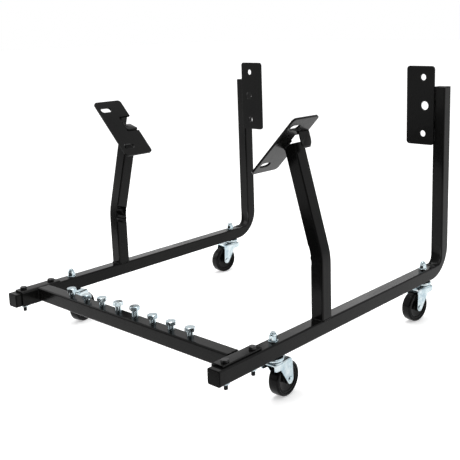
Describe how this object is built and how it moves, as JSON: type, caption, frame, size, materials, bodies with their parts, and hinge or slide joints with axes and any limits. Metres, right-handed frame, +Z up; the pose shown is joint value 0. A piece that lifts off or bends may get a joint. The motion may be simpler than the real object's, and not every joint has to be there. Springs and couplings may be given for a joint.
{
  "type": "engine stand",
  "caption": "Rolling engine cradle: bent square-tube side rails, a bolted cross tube, kinked posts with angled slotted mount plates, bellhousing plates and swivel casters.",
  "frame": {"origin": "on the floor, midway between the side rails and midway between the tips of the front plugs and the backs of the uprights", "axes": "+Z up; +Y from the cross tube towards the uprights with the bellhousing plates, which is the engine's rear; +X to the right of someone who looks along +Y"},
  "size_m": [0.8637, 1.002, 0.7502],
  "materials": {
    "black_paint": "semi-gloss black powder coat",
    "black_plastic": "moulded black plastic",
    "black_hardware": "black oxide",
    "zinc": "bright zinc plate",
    "wheel_black": "glossy hard black wheel"
  },
  "bodies": {
    "frame": {"rail_right": "black_paint", "front_plug_right": "black_plastic", "upright_cap_right": "black_plastic", "corner_bracket_right": "black_paint", "bracket_bolt_right_front": "black_hardware", "bracket_nut_right_front": "zinc", "bracket_bolt_right_rear": "black_hardware", "bracket_nut_right_rear": "zinc", "post_right": "black_paint", "engine_mount_plate_right": "black_paint", "bellhousing_plate_right": "black_paint", "rail_left": "black_paint", "front_plug_left": "black_plastic", "upright_cap_left": "black_plastic", "corner_bracket_left": "black_paint", "bracket_bolt_left_front": "black_hardware", "bracket_nut_left_front": "zinc", "bracket_bolt_left_rear": "black_hardware", "bracket_nut_left_rear": "zinc", "post_left": "black_paint", "engine_mount_plate_left": "black_paint", "bellhousing_plate_left": "black_paint", "cross_tube": "black_paint", "engine_bolt_1": "zinc", "engine_bolt_2": "zinc", "engine_bolt_3": "zinc", "engine_bolt_4": "zinc", "engine_bolt_5": "zinc", "engine_bolt_6": "zinc", "engine_bolt_7": "zinc", "engine_bolt_8": "zinc", "stem_front_right": "zinc", "stem_washer_front_right": "zinc", "stem_lock_nut_front_right": "zinc", "stem_front_left": "zinc", "stem_washer_front_left": "zinc", "stem_lock_nut_front_left": "zinc", "stem_rear_right": "zinc", "stem_washer_rear_right": "zinc", "stem_lock_nut_rear_right": "zinc", "stem_rear_left": "zinc", "stem_washer_rear_left": "zinc", "stem_lock_nut_rear_left": "zinc"},
    "swivel_front_right": {"fork_front_right": "zinc", "swivel_balls_front_right": "zinc", "axle_front_right": "zinc"},
    "roller_front_right": {"wheel_front_right": "wheel_black"},
    "swivel_front_left": {"fork_front_left": "zinc", "swivel_balls_front_left": "zinc", "axle_front_left": "zinc"},
    "roller_front_left": {"wheel_front_left": "wheel_black"},
    "swivel_rear_right": {"fork_rear_right": "zinc", "swivel_balls_rear_right": "zinc", "axle_rear_right": "zinc"},
    "roller_rear_right": {"wheel_rear_right": "wheel_black"},
    "swivel_rear_left": {"fork_rear_left": "zinc", "swivel_balls_rear_left": "zinc", "axle_rear_left": "zinc"},
    "roller_rear_left": {"wheel_rear_left": "wheel_black"}
  },
  "joints": [
    {"name": "swivel_front_right", "type": "hinge", "parent": "frame", "child": "swivel_front_right", "pos_m": [0.402, -0.3021, 0.09745], "axis": [0, 0, 1], "continuous": true},
    {"name": "roll_front_right", "type": "hinge", "parent": "swivel_front_right", "child": "roller_front_right", "pos_m": [0.39935, -0.26419, 0.04445], "axis": [-0.9976, -0.0698, 0], "continuous": true},
    {"name": "swivel_front_left", "type": "hinge", "parent": "frame", "child": "swivel_front_left", "pos_m": [-0.402, -0.3021, 0.09745], "axis": [0, 0, 1], "continuous": true},
    {"name": "roll_front_left", "type": "hinge", "parent": "swivel_front_left", "child": "roller_front_left", "pos_m": [-0.41184, -0.26539, 0.04445], "axis": [-0.9659, -0.2588, 0], "continuous": true},
    {"name": "swivel_rear_right", "type": "hinge", "parent": "frame", "child": "swivel_rear_right", "pos_m": [0.402, 0.3842, 0.09745], "axis": [0, 0, 1], "continuous": true},
    {"name": "roll_rear_right", "type": "hinge", "parent": "swivel_rear_right", "child": "roller_rear_right", "pos_m": [0.39737, 0.34648, 0.04445], "axis": [0.9925, -0.1219, 0], "continuous": true},
    {"name": "swivel_rear_left", "type": "hinge", "parent": "frame", "child": "swivel_rear_left", "pos_m": [-0.402, 0.3842, 0.09745], "axis": [0, 0, 1], "continuous": true},
    {"name": "roll_rear_left", "type": "hinge", "parent": "swivel_rear_left", "child": "roller_rear_left", "pos_m": [-0.40465, 0.34629, 0.04445], "axis": [0.9976, -0.0698, 0], "continuous": true}
  ]
}
